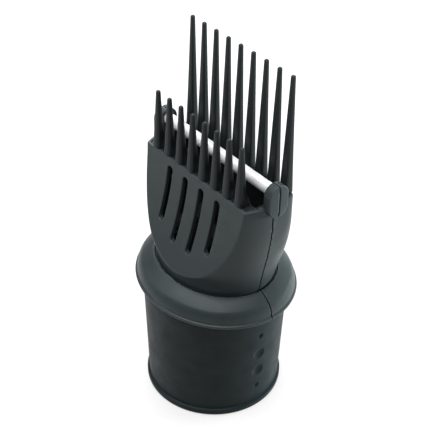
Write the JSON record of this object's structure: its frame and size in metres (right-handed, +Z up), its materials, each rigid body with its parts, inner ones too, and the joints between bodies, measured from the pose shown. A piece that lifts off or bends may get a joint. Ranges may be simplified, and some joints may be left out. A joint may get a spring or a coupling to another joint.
{
  "type": "dryer diffuser",
  "caption": "Push-on dryer head: a soft round cuff, a flanged and slotted oval head, a short and a long row of comb teeth, and a turning metal cross rod between them.",
  "frame": {"origin": "middle of the open lower end of the cuff, where the dryer's barrel goes in", "axes": "+Z up through the head to the tooth tips, +X along the tooth rows and the cross rod, -Y out of the slotted face with the short teeth"},
  "size_m": [0.0676, 0.0596, 0.1482],
  "materials": {
    "shell": "fine satin moulded nylon, charcoal",
    "comb": "smooth satin moulded nylon, near black",
    "rod": "satin turned",
    "bush": "natural acetal",
    "cuff": "soft-touch matte rubber, charcoal",
    "stop_ring": "plain moulded, black",
    "screw": "zinc plated"
  },
  "bodies": {
    "head": {"front_shell": "shell", "back_shell": "shell", "front_comb": "comb", "back_comb": "comb", "rod_bush_left": "bush", "rod_bush_right": "bush", "cuff": "cuff", "barrel_stop_ring": "stop_ring", "shell_screw_1": "screw", "shell_screw_2": "screw", "shell_screw_3": "screw", "shell_screw_4": "screw"},
    "rod": {"cross_rod": "rod"}
  },
  "joints": [
    {"name": "rod_spin", "type": "hinge", "parent": "head", "child": "rod", "pos_m": [0, 0, 0.1071], "axis": [1, 0, 0], "continuous": true}
  ]
}
